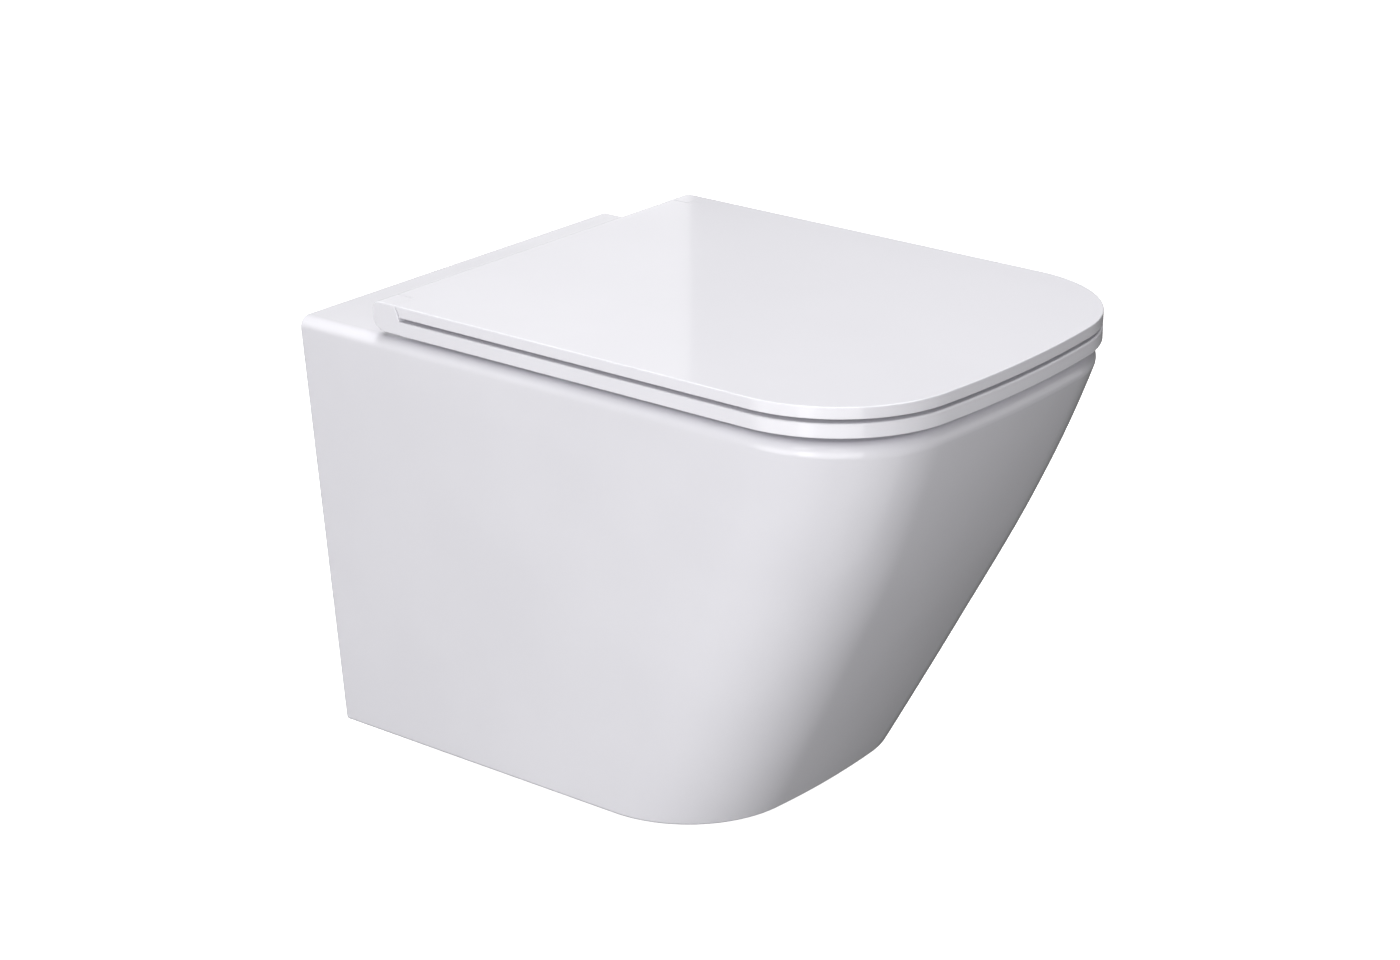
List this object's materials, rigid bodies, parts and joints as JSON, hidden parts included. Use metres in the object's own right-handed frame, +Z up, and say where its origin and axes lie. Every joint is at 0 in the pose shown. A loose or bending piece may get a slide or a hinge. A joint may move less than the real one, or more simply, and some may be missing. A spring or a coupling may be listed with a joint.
{
  "type": "wall hung toilet",
  "caption": "Wall hung toilet: deep tapered ceramic pan with a slim soft-close seat and lid, quick-release hinges and concealed wall brackets.",
  "frame": {"origin": "midway between the axes of the two wall studs, on the wall plane", "axes": "+Y points into the wall, so the front of the bowl faces -Y; +Z up; +X to the right when the viewer faces the wall"},
  "size_m": [0.3574, 0.5164, 0.3652],
  "materials": {
    "ceramic": "glossy white glaze over fired vitreous china",
    "duroplast": "polished white urea moulding",
    "chrome": "bright chrome plate",
    "stainless": "turned stainless steel",
    "zinc_steel": "zinc plated steel",
    "damper_plastic": "moulded dark grey plastic",
    "button_plastic": "moulded grey plastic, fine grain",
    "spring_wire": "drawn spring wire",
    "clear_pad": "soft translucent white elastomer",
    "gasket_rubber": "soft light grey rubber",
    "dowel_rubber": "black rubber",
    "cone_brass": "turned brass",
    "bush_nylon": "natural nylon"
  },
  "bodies": {
    "pan": {"ceramic_pan": "ceramic", "fixing_bracket_left": "zinc_steel", "fixing_bracket_right": "zinc_steel", "stud_washers": "zinc_steel", "stud_nuts": "zinc_steel", "clamp_screws": "zinc_steel", "clamp_bushes": "bush_nylon", "clamp_nuts": "zinc_steel", "hinge_base_left": "chrome", "hinge_base_right": "chrome", "hinge_gaskets": "gasket_rubber", "hinge_studs": "stainless", "expansion_dowels": "dowel_rubber", "cone_nuts": "cone_brass"},
    "seat_carrier": {"hinge_block_left": "chrome", "hinge_block_right": "chrome", "hinge_axle_left": "stainless", "hinge_axle_right": "stainless", "release_spring_left": "spring_wire", "release_spring_right": "spring_wire"},
    "button_left": {"release_button_left": "button_plastic"},
    "button_right": {"release_button_right": "button_plastic"},
    "seat": {"seat_ring": "duroplast", "seat_damper_left": "damper_plastic", "seat_damper_right": "damper_plastic", "seat_buffers": "clear_pad"},
    "lid": {"lid": "duroplast", "lid_damper_left": "damper_plastic", "lid_damper_right": "damper_plastic", "lid_buffers": "clear_pad"}
  },
  "joints": [
    {"name": "seat_lift_off", "type": "slide", "parent": "pan", "child": "seat_carrier", "axis": [0, 0, 1], "range_m": [0, 0.035]},
    {"name": "seat_hinge", "type": "hinge", "parent": "seat_carrier", "child": "seat", "pos_m": [0, -0.0885, 0.0972], "axis": [-1, 0, 0], "range_deg": [0, 98]},
    {"name": "lid_hinge", "type": "hinge", "parent": "seat", "child": "lid", "pos_m": [0, -0.0885, 0.0972], "axis": [1, 0, 0], "range_deg": [-100, 0]},
    {"name": "release_button_left", "type": "slide", "parent": "seat_carrier", "child": "button_left", "axis": [0, -1, 0], "range_m": [0, 0.0025], "stiffness_N_per_m": 700, "springref_m": -0.002, "deforming": ["release_spring_left"]},
    {"name": "release_button_right", "type": "slide", "parent": "seat_carrier", "child": "button_right", "axis": [0, -1, 0], "range_m": [0, 0.0025], "stiffness_N_per_m": 700, "springref_m": -0.002, "deforming": ["release_spring_right"]}
  ]
}
